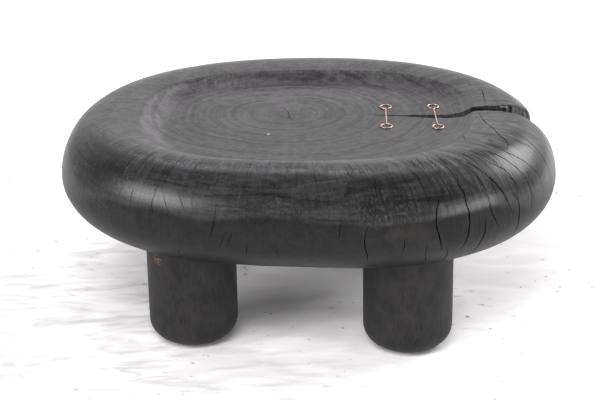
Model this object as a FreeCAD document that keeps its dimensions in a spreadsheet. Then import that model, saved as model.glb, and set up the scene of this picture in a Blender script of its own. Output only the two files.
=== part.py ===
"""Low coffee table: a dished, charred log slice on four turned legs.

Millimetres. +Z is up and +X runs along the slab's long axis. The origin is on the floor, under the
middle of the slab's box. The front of the table faces -Y.
"""

import FreeCAD
import Part
import math
import os

import Sketcher
from FreeCAD import Placement, Rotation, Vector

# Driving dimensions: name, value, what it is. Lengths in millimetres, angles in degrees.
SIZES = [
    ("half_length", 500, "slab outline: half of the long axis"),
    ("half_width", 393, "slab outline: half of the short axis"),
    ("outline_power", 2.26, "slab outline: 2 is an ellipse, more is squarer"),
    ("lobe_three_cos", -0.010, "live edge: share of a three-lobed wave along the long axis"),
    ("lobe_three_sin", -0.016, "live edge: share of a three-lobed wave along the short axis"),
    ("lobe_two_sin", -0.014, "live edge: share of a two-lobed wave across the diagonals"),
    ("belly_height", 300, "height of the slab's widest line above the floor"),
    ("crown_rise", 112, "from the widest line up to the crest of the rim"),
    ("crown_inset", 104, "from the outline in to the crest of the rim"),
    ("belly_drop", 120, "from the widest line down to the flat underside"),
    ("belly_inset", 190, "from the outline in to the flat underside"),
    ("dish_centre_x", -1, "middle of the dish"),
    ("dish_centre_y", -18, "middle of the dish"),
    ("dish_half_length", 336, "dish: half of the long axis at its arris"),
    ("dish_half_width", 252, "dish: half of the short axis at its arris"),
    ("dish_power", 2.6, "dish outline: 2 is an ellipse, more is squarer"),
    ("dish_sunk", 24, "depth of the dish floor under the crest"),
    ("arris_round", 8, "how far the rounding of the dish's arris reaches on each side"),
    ("arris_drop", 3.5, "height of the arris under the crest"),
    ("wall_run_end", 50, "width of the dish wall at the slab's two ends"),
    ("wall_run_side", 24, "width of the dish wall at the front and back"),
    ("split_tip_x", 105, "drying split: inner tip"),
    ("split_tip_y", 26.5, "drying split: inner tip"),
    ("split_hair_x", 150, "drying split: where it is still a hair's breadth"),
    ("split_hair_y", 21, "drying split: where it is still a hair's breadth"),
    ("split_hair_width", 3, "drying split: opening there"),
    ("split_floor_x", 209, "drying split: on the dish floor"),
    ("split_floor_y", 16, "drying split: on the dish floor"),
    ("split_floor_width", 11, "drying split: opening on the dish floor"),
    ("split_wall_x", 280, "drying split: at the foot of the dish wall"),
    ("split_wall_y", 11.5, "drying split: at the foot of the dish wall"),
    ("split_wall_width", 19, "drying split: opening at the foot of the dish wall"),
    ("split_arris_x", 322, "drying split: at the dish's arris"),
    ("split_arris_y", -1.5, "drying split: at the dish's arris"),
    ("split_arris_width", 26, "drying split: opening at the arris"),
    ("split_crest_x", 390, "drying split: at the crest of the rim"),
    ("split_crest_y", -6.5, "drying split: at the crest of the rim"),
    ("split_crest_width", 34, "drying split: opening at the crest"),
    ("split_crown_x", 434, "drying split: on the crown of the rim"),
    ("split_crown_y", -2, "drying split: on the crown of the rim"),
    ("split_crown_width", 62, "drying split: opening on the crown"),
    ("split_mouth_x", 530, "drying split: past the outline"),
    ("split_mouth_y", 7.5, "drying split: past the outline"),
    ("split_mouth_width", 89, "drying split: opening past the outline"),
    ("wire_radius", 1.3, "copper tie: radius of the wire"),
    ("eye_radius", 11, "copper tie: radius of an eye, to the middle of the wire"),
    ("neck_radius", 5, "copper tie: bend from the shank into an eye"),
    ("eye_wrap", 318, "copper tie: how far the wire goes round an eye"),
    ("wire_sunk", 1.3, "copper tie: depth of the wire in its groove"),
    ("groove_gap", 0.1, "copper tie: play in its groove"),
    ("tie_inner_far_x", 160.5, "inner tie: middle of its far eye"),
    ("tie_inner_far_y", 66, "inner tie: middle of its far eye"),
    ("tie_inner_near_x", 160.5, "inner tie: middle of its near eye"),
    ("tie_inner_near_y", -43, "inner tie: middle of its near eye"),
    ("tie_outer_far_x", 258, "outer tie: middle of its far eye"),
    ("tie_outer_far_y", 67, "outer tie: middle of its far eye"),
    ("tie_outer_near_x", 264, "outer tie: middle of its near eye"),
    ("tie_outer_near_y", -47, "outer tie: middle of its near eye"),
    ("leg_radius", 89, "turned leg"),
    ("foot_round", 41, "rounding of the leg's foot"),
    ("leg_seat", 36, "depth of the leg's round housing, from the flat underside"),
    ("seat_gap", 0.3, "play round the leg in its housing"),
    ("leg_front_left_x", -228, "leg place"),
    ("leg_front_left_y", -195, "leg place"),
    ("leg_front_right_x", 201, "leg place"),
    ("leg_front_right_y", -226, "leg place"),
    ("leg_back_left_x", -216, "leg place"),
    ("leg_back_left_y", 203, "leg place"),
    ("leg_back_right_x", 212, "leg place"),
    ("leg_back_right_y", 208, "leg place"),
    ("glide_radius", 43, "felt glide under a foot"),
    ("glide_thickness", 3, "felt glide under a foot"),
    ("bolt_radius", 6, "hanger bolt"),
    ("bolt_in_leg", 65, "hanger bolt: length in the leg"),
    ("bolt_in_slab", 45, "hanger bolt: length in the slab"),
    ("bolt_point", 9, "hanger bolt: length of the pointed end"),
    ("bolt_neck", 6, "hanger bolt: length of the plain neck at the seat"),
    ("bolt_neck_radius", 5, "hanger bolt: radius of the plain neck"),
    ("bolt_bevel", 1.2, "hanger bolt: bevel at the machine-thread end"),
    ("bolt_play", 0.05, "play round the bolt in the insert and the leg"),
    ("bore_spare", 6, "spare depth past either end of the bolt"),
    ("insert_radius", 9.5, "threaded insert: barrel"),
    ("insert_length", 36, "threaded insert: barrel and flange"),
    ("flange_radius", 13, "threaded insert: flange"),
    ("flange_thickness", 2, "threaded insert: flange"),
]

STATIONS = 48         # points round the slab in each of its level sections
ARC_SECTIONS = 5      # level sections in each quarter of the rim's bulge
WALL_SHARES = (0.25, 0.5, 0.75, 1.0)     # where the dish wall's level sections are, across the wall
WALL_HOLLOW = 0.7     # 0 is a straight wall, 1 is one that runs out level into the floor
SPLIT_MARKS = ("hair", "floor", "wall", "arris", "crest", "crown", "mouth")     # from the tip outwards
LEGS = ("front_left", "front_right", "back_left", "back_right")
# The side of its shank on which the wire enters each eye: far eye, near eye. -1 is left, seen from
# the eye's own shank.
TIES = {"inner": (-1, -1), "outer": (1, -1)}

doc = FreeCAD.newDocument("coffee_table")
sheet = doc.addObject("Spreadsheet::Sheet", "Sizes")
for row, (alias, value, meaning) in enumerate(SIZES, start=1):
    sheet.set(f"A{row}", meaning)
    sheet.set(f"B{row}", str(value))
    sheet.setAlias(f"B{row}", alias)
doc.recompute()


def size(alias):
    """A driving dimension, as a number."""
    return float(sheet.get(alias))


# Round sub-parts: a closed profile of straight lines, turned about the Z axis

def pin_to_axes(sketch, line, bounds):
    """Ties the first point of a line to the sketch's axes by two expressions, '0' being on the axis."""
    for kind, axis, rule in (("DistanceX", -2, bounds[0]), ("DistanceY", -1, bounds[1])):
        if rule == "0":
            sketch.addConstraint(Sketcher.Constraint("PointOnObject", line, 1, axis))
            continue
        value = float(sketch.evalExpression(rule))
        index = sketch.addConstraint(Sketcher.Constraint(kind, -1, 1, line, 1, value))
        sketch.setExpression(f"Constraints[{index}]", rule)


def turned_body(label, corners):
    """A body turned from a profile: corners are (radius, height) expressions on the sheet's cells."""
    body = doc.addObject("PartDesign::Body", label)
    body.Label = label
    sketch = body.newObject("Sketcher::SketchObject", f"{label}_profile")
    plane = next(f for f in body.Origin.OriginFeatures if f.Role == "XZ_Plane")
    sketch.AttachmentSupport = [(plane, "")]
    sketch.MapMode = "FlatFace"
    rules = [tuple(c if c == "0" else on_sheet(c) for c in corner) for corner in corners]
    places = [Vector(*[float(sketch.evalExpression(r)) for r in corner], 0) for corner in rules]
    count = len(places)
    for i in range(count):
        sketch.addGeometry(Part.LineSegment(places[i], places[(i + 1) % count]), False)
    for i in range(count):
        sketch.addConstraint(Sketcher.Constraint("Coincident", i, 2, (i + 1) % count, 1))
        pin_to_axes(sketch, i, rules[i])
    turn = body.newObject("PartDesign::Revolution", f"{label}_turn")
    turn.Profile = sketch
    turn.ReferenceAxis = (sketch, ["V_Axis"])
    turn.Angle = 360
    doc.recompute()
    return body, turn


def on_sheet(rule):
    """An expression in plain aliases, with each alias read from the sheet."""
    words = rule.split(" ")
    names = {alias for alias, _, _ in SIZES}
    return " ".join(f"Sizes.{w}" if w in names else w for w in words)


def place_body(body, leg, height_rule):
    """Stands a body on its leg's axis, at a height."""
    body.setExpression("Placement.Base.x", f"Sizes.leg_{leg}_x")
    body.setExpression("Placement.Base.y", f"Sizes.leg_{leg}_y")
    body.setExpression("Placement.Base.z", on_sheet(height_rule))


UNDERSIDE = "belly_height - belly_drop"
SEAT = f"{UNDERSIDE} + leg_seat"
LEG_LENGTH = f"{SEAT} - glide_thickness"
LEG_BORE_END = f"{LEG_LENGTH} - bolt_in_leg - bore_spare"


def make_leg(leg):
    """A turned leg with a blind bore for its bolt, and a rounded foot."""
    body, turn = turned_body(f"leg_{leg}", [
        ("0", "0"),
        ("leg_radius", "0"),
        ("leg_radius", LEG_LENGTH),
        ("bolt_radius + bolt_play", LEG_LENGTH),
        ("bolt_radius + bolt_play", LEG_BORE_END),
        ("0", LEG_BORE_END),
    ])
    rim = next(
        f"Edge{i}" for i, edge in enumerate(turn.Shape.Edges, start=1)
        if edge.Closed and edge.BoundBox.ZMax < 1 and edge.BoundBox.XLength > size("leg_radius")
    )
    foot = body.newObject("PartDesign::Fillet", f"leg_{leg}_foot")
    foot.Base = (turn, [rim])
    foot.setExpression("Radius", "Sizes.foot_round")
    place_body(body, leg, "glide_thickness")
    return body


def make_glide(leg):
    """A felt disc under the flat of a foot."""
    glide = doc.addObject("Part::Cylinder", f"felt_glide_{leg}")
    glide.Label = f"felt_glide_{leg}"
    glide.setExpression("Radius", "Sizes.glide_radius")
    glide.setExpression("Height", "Sizes.glide_thickness")
    glide.setExpression("Placement.Base.x", f"Sizes.leg_{leg}_x")
    glide.setExpression("Placement.Base.y", f"Sizes.leg_{leg}_y")
    return glide


def make_bolt(leg):
    """A hanger bolt: pointed wood-thread end down in the leg, machine-thread end up in the insert."""
    length = "bolt_in_leg + bolt_in_slab"
    body, _ = turned_body(f"hanger_bolt_{leg}", [
        ("0", "0"),
        ("bolt_radius", "bolt_point"),
        ("bolt_radius", "bolt_in_leg - bolt_neck"),
        ("bolt_neck_radius", "bolt_in_leg - bolt_neck"),
        ("bolt_neck_radius", "bolt_in_leg"),
        ("bolt_radius", "bolt_in_leg"),
        ("bolt_radius", f"{length} - bolt_bevel"),
        ("bolt_radius - bolt_bevel", length),
        ("0", length),
    ])
    place_body(body, leg, f"{SEAT} - bolt_in_leg")
    return body


def make_insert(leg):
    """A flanged threaded insert, let into the slab from the leg's seat."""
    body, _ = turned_body(f"threaded_insert_{leg}", [
        ("bolt_radius + bolt_play", "0"),
        ("flange_radius", "0"),
        ("flange_radius", "flange_thickness"),
        ("insert_radius", "flange_thickness"),
        ("insert_radius", "insert_length"),
        ("bolt_radius + bolt_play", "insert_length"),
    ])
    place_body(body, leg, SEAT)
    return body


def make_socket(leg):
    """What is cut from the slab for one leg: its housing, the insert's stepped bore and the bolt's end."""
    body, _ = turned_body(f"socket_{leg}", [
        ("0", "0"),
        ("leg_radius + seat_gap", "0"),
        ("leg_radius + seat_gap", SEAT),
        ("flange_radius + bolt_play", SEAT),
        ("flange_radius + bolt_play", f"{SEAT} + flange_thickness + bolt_play"),
        ("insert_radius + bolt_play", f"{SEAT} + flange_thickness + bolt_play"),
        ("insert_radius + bolt_play", f"{SEAT} + insert_length + bolt_play"),
        ("bolt_radius + bolt_play", f"{SEAT} + insert_length + bolt_play"),
        ("bolt_radius + bolt_play", f"{SEAT} + bolt_in_slab + bore_spare"),
        ("0", f"{SEAT} + bolt_in_slab + bore_spare"),
    ])
    place_body(body, leg, "0")
    return body


# The slab: level sections from the flat underside, out over the bulge, to the dish floor

def oval_radius(angle, half_length, half_width, power):
    """Distance from the middle of a squared oval to its edge."""
    along = abs(math.cos(angle) / half_length) ** power
    across = abs(math.sin(angle) / half_width) ** power
    return (along + across) ** (-1 / power)


def outline_radius(angle):
    """The slab's widest line: a squared oval with a few slow waves in it."""
    waves = (
        size("lobe_three_cos") * math.cos(3 * angle)
        + size("lobe_three_sin") * math.sin(3 * angle)
        + size("lobe_two_sin") * math.sin(2 * angle)
    )
    plain = oval_radius(angle, size("half_length"), size("half_width"), size("outline_power"))
    return plain * (1 + waves)


def station_angles(count):
    return [2 * math.pi * i / count for i in range(count)]


def outline_middle():
    """Middle of the outline's box, which the part's origin stands under."""
    fine = [Vector(outline_radius(a) * math.cos(a), outline_radius(a) * math.sin(a), 0)
            for a in station_angles(STATIONS * 40)]
    xs = [p.x for p in fine]
    ys = [p.y for p in fine]
    return Vector((min(xs) + max(xs)) / 2, (min(ys) + max(ys)) / 2, 0)


def bulge_loop(turn, middle):
    """A level section of the bulge. turn runs from -90 at the flat underside to 90 at the crest."""
    phi = math.radians(turn)
    upper = turn > 0
    inset = size("crown_inset" if upper else "belly_inset") * (1 - math.cos(phi))
    rise = size("crown_rise" if upper else "belly_drop") * math.sin(phi)
    height = size("belly_height") + rise
    return [
        Vector((outline_radius(a) - inset) * math.cos(a), (outline_radius(a) - inset) * math.sin(a), height)
        - middle
        for a in station_angles(STATIONS)
    ]


def dish_loop(inset_at, height):
    """A level section of the dish. inset_at gives the distance in from the arris at an angle."""
    centre = Vector(size("dish_centre_x"), size("dish_centre_y"), height)
    loop = []
    for a in station_angles(STATIONS):
        arris = oval_radius(a, size("dish_half_length"), size("dish_half_width"), size("dish_power"))
        reach = arris - inset_at(a)
        loop.append(centre + Vector(reach * math.cos(a), reach * math.sin(a), 0))
    return loop


def wall_run(angle):
    """Width of the dish wall: broad at the slab's ends, narrow at the front and back."""
    end = size("wall_run_end")
    side = size("wall_run_side")
    return side + (end - side) * math.cos(angle) ** 2


def slab_loops():
    """All the level sections of the slab, in order, as loops of points."""
    middle = outline_middle()
    step = 90 / ARC_SECTIONS
    loops = [bulge_loop(step * k, middle) for k in range(-ARC_SECTIONS, ARC_SECTIONS + 1)]
    crest = size("belly_height") + size("crown_rise")
    arris = crest - size("arris_drop")
    floor = crest - size("dish_sunk")
    reach = size("arris_round")
    loops.append(dish_loop(lambda a: -reach, (crest + arris) / 2))
    loops.append(dish_loop(lambda a: reach * wall_run(a) / size("wall_run_end") / 2, arris))
    for share in WALL_SHARES:
        fall = share * (1 + WALL_HOLLOW * (1 - share))
        loops.append(dish_loop(lambda a, s=share: s * wall_run(a), arris + (floor - arris) * fall))
    return loops


def make_slab_blank():
    """The carved slice before it is split, bored and grooved."""
    wires = []
    for loop in slab_loops():
        curve = Part.BSplineCurve()
        curve.interpolate(Points=loop, PeriodicFlag=True)
        wires.append(Part.Wire(curve.toShape()))
    blank = doc.addObject("Part::Feature", "slab_blank")
    blank.Shape = Part.makeLoft(wires, True, False)
    return blank


def make_split():
    """The drying split, open from its tip out through the rim and down through the whole slab."""
    opening = [(m, size(f"split_{m}_width")) for m in SPLIT_MARKS]
    marks = [("tip", 0.0), *opening]
    sides = []
    for side in (-0.5, 0.5):
        points = [Vector(size(f"split_{m}_x"), size(f"split_{m}_y") + side * w, 0) for m, w in marks]
        curve = Part.BSplineCurve()
        curve.interpolate(Points=points)
        sides.append(curve.toShape())
    mouth = Part.LineSegment(sides[0].lastVertex().Point, sides[1].lastVertex().Point).toShape()
    face = Part.Face(Part.Wire(Part.__sortEdges__([sides[0], mouth, sides[1]])))
    split = doc.addObject("Part::Feature", "split")
    split.Shape = face.extrude(Vector(0, 0, size("belly_height") + 2 * size("crown_rise")))
    return split


# The copper ties: one wire, bent into an eye at each end, across the split

def eye_edges(centre, towards, side):
    """Edges of one eye, from the end of the wire to the start of the shank, and that start.

    towards is the direction of the shank from the eye's middle, and side tells on which side of the
    shank the wire enters the eye.
    """
    eye = size("eye_radius")
    neck = size("neck_radius")
    across = Vector(-towards.y, towards.x, 0) * side
    reach = math.sqrt(eye * eye + 2 * eye * neck)
    shank_start = centre + towards * reach
    neck_centre = shank_start + across * neck
    joint = centre + (neck_centre - centre) * (eye / (eye + neck))
    spread = math.degrees(math.atan2(neck, reach))

    def on_eye(turn):
        """A point on the eye, by its angle from the shank, counted away from the neck."""
        a = math.radians(spread - turn)
        return centre + towards * (eye * math.cos(a)) + across * (eye * math.sin(a))

    neck_middle = neck_centre - (neck_centre - (joint + shank_start) * 0.5).normalize() * neck
    wrap = size("eye_wrap")
    ring = Part.Arc(on_eye(360 - wrap), on_eye(360 - wrap / 2), joint)
    bend = Part.Arc(joint, neck_middle, shank_start)
    return [ring.toShape(), bend.toShape()], shank_start


def make_tie(name, sides):
    """One tie and the groove that it lies in."""
    level = size("belly_height") + size("crown_rise") - size("dish_sunk")
    height = level + size("wire_radius") - size("wire_sunk")
    far, near = (
        Vector(size(f"tie_{name}_{end}_x"), size(f"tie_{name}_{end}_y"), height) for end in ("far", "near")
    )
    along = (near - far).normalize()
    far_edges, far_start = eye_edges(far, along, sides[0])
    near_edges, near_start = eye_edges(near, -along, sides[1])
    shank = Part.LineSegment(far_start, near_start).toShape()
    edges = far_edges + [shank] + near_edges[::-1]
    path = doc.addObject("Part::Feature", f"tie_{name}_path")
    path.Shape = Part.Wire(Part.__sortEdges__(edges))
    first = path.Shape.OrderedEdges[0]
    start = first.valueAt(first.FirstParameter)
    heading = first.tangentAt(first.FirstParameter)

    def swept(label, radius_rule):
        ring = doc.addObject("Part::Circle", f"{label}_section")
        ring.setExpression("Radius", on_sheet(radius_rule))
        ring.Placement = Placement(start, Rotation(Vector(0, 0, 1), heading))
        sweep = doc.addObject("Part::Sweep", label)
        sweep.Label = label
        sweep.Sections = [ring]
        sweep.Spine = (path, [f"Edge{i + 1}" for i in range(len(edges))])
        sweep.Solid = True
        sweep.Frenet = False
        return sweep

    tie = swept(f"copper_tie_{name}", "wire_radius")
    groove = swept(f"groove_{name}", "wire_radius + groove_gap")
    return tie, groove


def make_slab(cutters):
    """The finished slab: the blank less everything that is cut out of it."""
    tools = doc.addObject("Part::MultiFuse", "slab_cutters")
    tools.Shapes = cutters
    slab = doc.addObject("Part::Cut", "slab_top")
    slab.Label = "slab_top"
    slab.Base = make_slab_blank()
    slab.Tool = tools
    return slab


def build():
    """Makes every sub-part and returns them."""
    legs = [make_leg(leg) for leg in LEGS]
    glides = [make_glide(leg) for leg in LEGS]
    bolts = [make_bolt(leg) for leg in LEGS]
    inserts = [make_insert(leg) for leg in LEGS]
    sockets = [make_socket(leg) for leg in LEGS]
    ties, grooves = zip(*(make_tie(name, sides) for name, sides in TIES.items()))
    slab = make_slab([make_split(), *grooves, *sockets])
    doc.recompute()
    return [slab, *legs, *glides, *bolts, *inserts, *ties]


def check(parts):
    """Stops the build if an object failed or a sub-part isn't a sound solid."""
    failed = [o.Name for o in doc.Objects if {"Invalid", "Error"} & set(o.State)]
    unsound = [p.Label for p in parts if p.Shape.isNull() or not p.Shape.isValid() or not p.Shape.Solids]
    if failed or unsound:
        raise RuntimeError(f"failed objects {failed}, unsound sub-parts {unsound}")


def export(parts):
    """Writes each sub-part under its label."""
    os.makedirs("parts", exist_ok=True)
    for part in parts:
        part.Shape.exportStep(f"parts/{part.Label}.step")
        print(f"{part.Label}: {len(part.Shape.Solids)} solid, {part.Shape.Volume / 1e6:.4f} litres")


table = build()
check(table)
export(table)
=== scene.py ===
import math
import random
from types import SimpleNamespace

import bmesh
import bpy
from mathutils import Matrix, Vector, noise


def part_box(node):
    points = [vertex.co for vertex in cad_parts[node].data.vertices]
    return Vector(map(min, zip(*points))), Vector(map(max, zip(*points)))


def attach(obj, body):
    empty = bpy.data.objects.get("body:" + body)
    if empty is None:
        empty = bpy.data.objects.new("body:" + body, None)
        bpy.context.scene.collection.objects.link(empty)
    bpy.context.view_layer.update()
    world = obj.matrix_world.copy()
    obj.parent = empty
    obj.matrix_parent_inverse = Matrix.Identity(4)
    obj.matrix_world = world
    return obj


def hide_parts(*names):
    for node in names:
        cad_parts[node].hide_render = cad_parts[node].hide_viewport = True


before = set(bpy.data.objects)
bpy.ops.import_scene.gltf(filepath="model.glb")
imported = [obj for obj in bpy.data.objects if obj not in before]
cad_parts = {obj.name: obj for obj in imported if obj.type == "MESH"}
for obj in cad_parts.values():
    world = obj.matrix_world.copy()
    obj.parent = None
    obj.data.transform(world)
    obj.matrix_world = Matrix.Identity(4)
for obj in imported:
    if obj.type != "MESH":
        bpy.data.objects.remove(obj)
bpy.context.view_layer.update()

# Sizes in metres, angles in degrees. The slab's sizes are those of its solid, which has no nose.
SLAB = {
    "Half Length": 0.500,
    "Half Width": 0.393,
    "Outline Power": 2.26,
    "Lobe Three Cos": -0.010,
    "Lobe Three Sin": -0.016,
    "Lobe Two Sin": -0.014,
    "Belly Height": 0.300,
    "Crown Rise": 0.112,
    "Crown Inset": 0.104,
    "Belly Drop": 0.120,
    "Belly Inset": 0.190,
    "Dish X": -0.001,
    "Dish Y": -0.018,
    "Dish Half Length": 0.336,
    "Dish Half Width": 0.252,
    "Dish Power": 2.6,
    "Dish Sunk": 0.024,
    "Arris Drop": 0.0035,
    "Wall Run End": 0.050,
    "Wall Run Side": 0.024,
    "Wall Hollow": 0.7,
    "Nose X": 0.460,
    "Nose Round": 0.030,
}
# Stages of the slab's profile, from the middle of the underside to the middle of the dish, and the rows
# of faces in each: flat underside, belly, crown, rim, dish wall, dish floor.
PROFILE_ROWS = (10, 40, 36, 14, 18, 36)
LINES_AROUND = 480
LINES_CROWDED = 0.5         # how much closer together the lines are at the split than on average
SPLIT_TURN = math.radians(6)        # where the lines are closest together

# The drying split, from its tip outwards: x, and y of its near and far lips.
SPLIT = (
    (0.105, 0.0265, 0.0265),
    (0.150, 0.0195, 0.0225),
    (0.184, 0.0145, 0.0205),
    (0.209, 0.0105, 0.0215),
    (0.240, 0.0055, 0.0225),
    (0.272, 0.0035, 0.0210),
    (0.294, 0.0000, 0.0210),
    (0.312, -0.0105, 0.0150),
    (0.335, -0.0145, 0.0105),
    (0.360, -0.0165, 0.0095),
    (0.390, -0.0235, 0.0105),
    (0.413, -0.0300, 0.0180),
    (0.434, -0.0330, 0.0290),
    (0.450, -0.0350, 0.0370),
    (0.530, -0.0370, 0.0520),
)
SPLIT_FOOT = 0.165
SPLIT_TOP = 0.425
SPLIT_LEVELS = 44
SPLIT_STEPS = 10            # points between two places of the split
SPLIT_FIBRE = 0.0020        # how far the torn fibres stand in or out
LIP_CRISP = 0.0015          # rounding of the split's lips in the dish and on the rim
# Rounding, seen from above, of the near and far lips where the split leaves the slab, and the stretch of x
# and y over which it begins.
LIP_NEAR = 0.003
LIP_FAR = 0.012
LIP_END_X = (0.400, 0.460)
LIP_SIDE_Y = (-0.006, -0.001)
# The blunt nose of the split's far bank: the stretches of y over which it begins and fades, and the heights
# over which it leans out, with how far.
NOSE_FRONT_Y = (-0.015, 0.010)
NOSE_BACK_Y = (0.09, 0.19)
NOSE_OFF = 0.1              # how far out it is put before it begins, so that it does nothing there
NOSE_FADE = 0.6             # share of that behind it
NOSE_LEAN_Z = (0.24, 0.32)
NOSE_LEAN = 0.012

WAVE_DEPTH = 0.0022         # slow hand-cut waves in the bulge
DENT_DEPTH = 0.0006         # smaller unevenness everywhere
CALM_Z = (0.392, 0.404)     # heights over which the waves grow smaller, and by how much
CALM_SHARE = 0.75

LEGS = ("front_left", "front_right", "back_left", "back_right")
LEG_SEAT = 0.216
SEAT_GAP = 0.0003
FOOT_ROUND = 0.041
BOLT_HOLE = (0.00605, 0.145)        # radius, and the height of its end in the leg
FELT_ROUND = 0.0011
# Lines around a turned piece, and its grooves: depth, number in a metre and length as a share of width.
LEG_LINES = 300
LEG_GROOVES = (0.0005, 150.0, 18.0)
FELT_LINES = 160
FELT_FUZZ = (0.0004, 700.0, 1.0)
# Bores over each leg, for the insert's flange and barrel and the bolt's end: radius and top.
INSERT_BORES = ((0.01305, 0.21805), (0.00955, 0.25205), (0.00605, 0.267))

PITH = (-0.042, 0.030)      # middle of the growth rings
# Ashy places in the slab's char, with how far they reach.
ASHY_PLACES = (
    ((-0.395, -0.245, 0.345), 0.100),
    ((0.150, -0.380, 0.343), 0.060),
    ((-0.325, 0.080, 0.408), 0.050),
    ((0.300, 0.240, 0.405), 0.090),
)
# Single marks: the middle of each, in the stretched coordinates that it is drawn in, and its reach.
SCRATCHED_WALL = ((-0.088, 0.215, 0.404), 0.045)
BROWN_MARK = ((0.063, -0.385, 0.296), 0.040)
CHIP = ((-0.0750, -0.0292, 0.388), 0.0034)
CHIP_MIDDLE_Y = -0.081
TORN_STREAK = ((0.0802, 0.0016, 0.4943), 0.0034)
LEG_FLECK = ((-0.290, -0.260, 0.198), 0.020)
RING_STRETCH = 1.25         # the rings are this much longer along the slab than across it

# Zones of the slab's finish, each from where it begins to where it is full. The dish is measured as a share
# of the way to its arris, the rest in metres.
DISH_EDGE = (0.95, 1.03)
DISH_WALL = (0.60, 0.74)
# painted light: the dish's left wall is made paler as if more lit, up to this x
PAINTED_LIT_WALL_X = (-0.31, -0.24)
# painted sheen: over this y the dish floor grows paler towards the back
PAINTED_SHEEN_FLOOR_Y = (0.03, 0.17)
RIM_EDGE_Z = (0.4010, 0.4065)
# painted light: below these heights the rim's front edge, where it rolls over, is made paler as if lit
PAINTED_LIT_EDGE_Z = (0.4055, 0.4105)
BRUSHED_Z = (0.325, 0.337)
BRUSHED_SPREAD = (0.045, 0.015)     # how much wider that is, down and up, at the ends
ENDS_X = (0.36, 0.46)
CRACKED_X = (-0.05, 0.42)
OFF_FRONT_X = (0.14, 0.36)
MATT_LEFT_X = (-0.47, -0.36)
MATT_RIGHT_X = (0.40, 0.50)

# Colours
CHAR_GREEN = 0.94           # green of the charred greys, as a share of their red and blue
SOOT = 0.007
ASH = (0.16, 0.155, 0.155, 1)
SCRAPED = (0.13, 0.1255, 0.1255, 1)
SCRATCHED = (0.20, 0.19, 0.19, 1)
BROWN = (0.075, 0.048, 0.036, 1)
RAW_WOOD = (0.66, 0.63, 0.60, 1)
RUSTY_WOOD = (0.27, 0.13, 0.075, 1)
# Metals of the CAD nodes that show as they are: start of the nodes' names, the finish's name, its dark and
# light colours, roughness and grain.
METALS = (
    ("copper_tie", "copper_wire", (0.93, 0.60, 0.50), (0.97, 0.70, 0.61), 0.30, 300.0),
    ("hanger_bolt", "bolt_steel", (0.50, 0.50, 0.51), (0.64, 0.64, 0.65), 0.38, 220.0),
    ("threaded_insert", "insert_brass", (0.62, 0.47, 0.20), (0.74, 0.58, 0.27), 0.34, 220.0),
)
METAL_RELIEF = 0.0001

# Drying checks in the slab's skin: width in millimetres, then places as (turn in degrees, profile stage).
CHECKS = (
    (1.5, (-138, 2.42), (-138, 2.16)),
    (1.9, (-132, 2.48), (-132, 2.26), (-131, 2.14)),
    (1.5, (-130, 2.40), (-127, 2.18)),
    (1.6, (-126, 2.44), (-123, 2.22)),
    (1.3, (-122, 2.38), (-121, 2.28)),
    (1.7, (-115, 2.34), (-115, 2.14), (-116, 1.94)),
    (1.4, (-112, 2.04), (-114, 1.82)),
    (1.4, (-110, 2.04), (-112, 1.86)),
    (1.3, (-106, 1.94), (-107, 1.76)),
    (1.3, (-98, 1.88), (-98, 1.74)),
    (1.3, (-126, 1.76), (-127, 1.62)),
    (1.5, (-80, 2.22), (-81, 1.98)),
    (2.0, (-69, 2.68), (-70, 2.44)),
    (2.4, (-73, 2.16), (-74, 1.96), (-72, 1.64)),
    (2.0, (-64, 1.98), (-64, 1.80)),
    (3.8, (-54, 2.42), (-56, 2.22), (-56, 2.02), (-54, 1.78)),
    (3.8, (-48, 2.58), (-48, 2.34), (-48, 2.08), (-49, 1.72)),
    (3.2, (-44, 2.10), (-44, 1.96), (-44, 1.58)),
    (2.4, (-42, 2.30), (-42, 2.12), (-40, 1.92)),
    (3.4, (-43, 2.90), (-40, 2.60), (-38, 2.32), (-36, 2.02)),
    (3.0, (-37, 2.74), (-34, 2.52), (-33, 2.20)),
    (4.0, (-35, 2.28), (-34, 2.10), (-34, 1.94), (-33, 1.68)),
    (2.8, (-30, 2.42), (-29, 2.18), (-30, 1.94)),
    (2.4, (-58, 1.90), (-58, 1.78), (-56, 1.56)),
    (2.4, (-53, 1.82), (-50, 1.50)),
    (2.6, (-1, 3.84), (-10, 3.66), (-17, 3.28), (-24, 2.86), (-29, 2.72)),
    (2.0, (-23, 2.86), (-20, 2.70)),
    (2.0, (18, 3.16), (10, 3.44), (4, 3.54)),
    (1.6, (27, 3.08), (22, 3.32)),
    (1.8, (-21, 4.14), (-27, 3.78)),
    (1.8, (-51, 3.42), (-53, 3.20), (-56, 2.80)),
    (2.2, (-50, 3.42), (-52, 3.10), (-54, 2.74)),
    (2.2, (-47, 3.42), (-49, 3.06), (-51, 2.66)),
    (2.0, (-44, 3.40), (-46, 3.04), (-48, 2.72)),
    (2.6, (-34, 2.98), (-32, 2.72), (-30, 2.46), (-28, 2.24)),
    (2.6, (-29, 3.08), (-29, 2.76), (-26, 2.48), (-24, 2.24)),
    (2.2, (-23, 2.82), (-20, 2.60), (-20, 2.32)),
    (2.0, (121, 5.55), (127, 5.76), (167, 5.94)),
)
CHECK_DEPTH = 3.2           # depth of a check as a share of its width
CHECK_POINTS = 26           # points between two places of a check
CHECK_SHARE = 0.36          # half of a check's width, less what its raggedness adds
CHECK_WANDER = 0.014        # how far a check strays sideways, as a turn
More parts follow.
